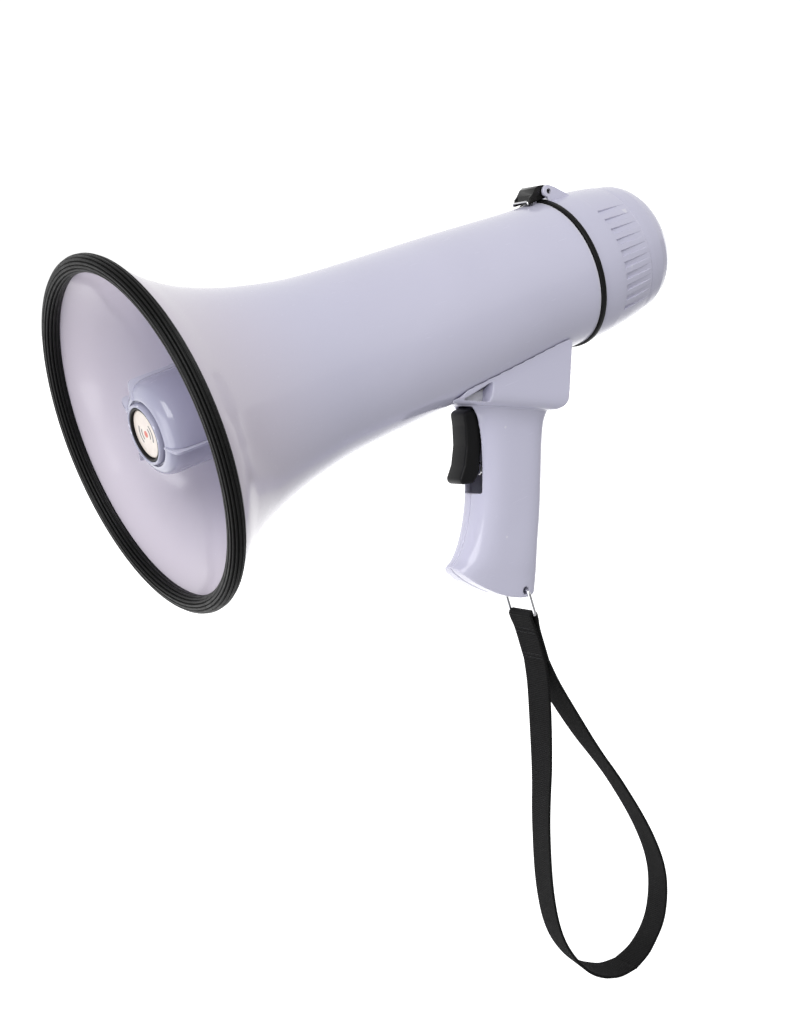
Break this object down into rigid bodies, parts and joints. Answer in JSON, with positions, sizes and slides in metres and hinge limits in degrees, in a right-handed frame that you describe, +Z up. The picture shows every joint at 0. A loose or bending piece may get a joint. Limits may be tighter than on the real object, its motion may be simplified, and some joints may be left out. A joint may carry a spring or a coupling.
{
  "type": "handheld megaphone",
  "caption": "Pistol-grip megaphone with flared bell, reflex hub, ribbed rubber rim, latched rear unit with microphone and controls, trigger and webbing wrist strap",
  "frame": {"origin": "the middle of the hand grip, where the hand holds the megaphone", "axes": "+X forward along the horn's axis, out of the bell; +Z up, so the barrel is level and the strap hangs straight down; +Y to the left of the person using it"},
  "size_m": [0.318, 0.175, 0.4592],
  "materials": {
    "shell": "satin-gloss pale lavender grey ABS moulding",
    "hub": "satin-gloss lavender grey ABS moulding",
    "rubber": "ribbed black rubber",
    "black": "gloss black plastic",
    "cream": "blank off-white label disc",
    "steel": "bright plated steel",
    "ferrite": "dark grey ferrite",
    "film": "translucent phenolic film",
    "brass": "plain",
    "board": "green solder mask",
    "foam": "open-cell foam",
    "cell": "plain wrapped dry cell",
    "webbing": "ribbed black polyester webbing"
  },
  "bodies": {
    "main": {"horn_body": "shell", "bell_back_plate": "shell", "throat_tube": "shell", "handle_left": "shell", "handle_right": "shell", "hub_reflector": "hub", "hub_ring": "hub", "rim_bumper": "rubber", "hub_badge_seat": "black", "battery_tray": "black", "trigger_switch": "black", "hub_badge": "cream", "hub_screw_1": "steel", "hub_screw_2": "steel", "plate_screw_1": "steel", "plate_screw_2": "steel", "plate_screw_3": "steel", "saddle_screw_left": "steel", "saddle_screw_right": "steel", "handle_screw_1": "steel", "handle_screw_2": "steel", "handle_screw_3": "steel", "trigger_pin": "steel", "trigger_spring": "steel", "driver_top_plate": "steel", "driver_yoke": "steel", "driver_flange": "ferrite", "driver_magnet": "ferrite", "diaphragm": "film", "voice_coil": "brass", "contact_front_upper": "brass", "contact_front_lower": "brass", "contact_rear_link": "brass", "terminal_plus": "brass", "terminal_minus": "brass", "cell_1": "cell", "cell_2": "cell", "cell_3": "cell", "cell_4": "cell", "cell_5": "cell", "cell_6": "cell", "cell_7": "cell", "cell_8": "cell"},
    "rear_unit": {"rear_housing": "shell", "barrel_gasket": "rubber", "rear_cap": "shell", "microphone_foam": "foam", "microphone_capsule": "steel", "volume_control": "steel", "siren_switch": "steel", "amplifier_board": "board", "amplifier_heat_sink": "steel", "latch_pin": "steel"},
    "latch": {"latch_lever": "black"},
    "trigger": {"trigger": "black"},
    "volume_knob": {"volume_knob": "black"},
    "siren_button": {"siren_button": "black"},
    "strap_ring": {"strap_ring": "steel"},
    "wrist_strap": {"wrist_strap": "webbing"}
  },
  "joints": [
    {"name": "rear_unit_slide", "type": "slide", "parent": "main", "child": "rear_unit", "axis": [-1, 0, 0], "range_m": [0, 0.025]},
    {"name": "latch_swing", "type": "hinge", "parent": "rear_unit", "child": "latch", "pos_m": [-0.07611, 0, 0.13972], "axis": [0, -1, 0], "range_deg": [0, 130]},
    {"name": "trigger_swing", "type": "hinge", "parent": "main", "child": "trigger", "pos_m": [-0.00708, 0, 0.04099], "axis": [0, 1, 0], "range_deg": [0, 7], "stiffness_Nm_per_rad": 0.9, "deforming": ["trigger_spring"]},
    {"name": "volume_turn", "type": "hinge", "parent": "rear_unit", "child": "volume_knob", "pos_m": [-0.12861, -0.012, 0.08403], "axis": [-1, 0, 0], "range_deg": [-140, 140]},
    {"name": "siren_press", "type": "slide", "parent": "rear_unit", "child": "siren_button", "axis": [1, 0, 0], "range_m": [0, 0.0025], "stiffness_N_per_m": 600},
    {"name": "ring_swing", "type": "hinge", "parent": "main", "child": "strap_ring", "pos_m": [0.00478, 0, -0.05017], "axis": [0, 1, 0], "range_deg": [-35, 35]},
    {"name": "strap_swing", "type": "hinge", "parent": "strap_ring", "child": "wrist_strap", "pos_m": [0.00478, 0, -0.06437], "axis": [0, 1, 0], "range_deg": [-25, 25]}
  ],
  "couplings": [
    {"joint": "latch_swing", "follows": "rear_unit_slide", "rad_per_m": 90}
  ]
}
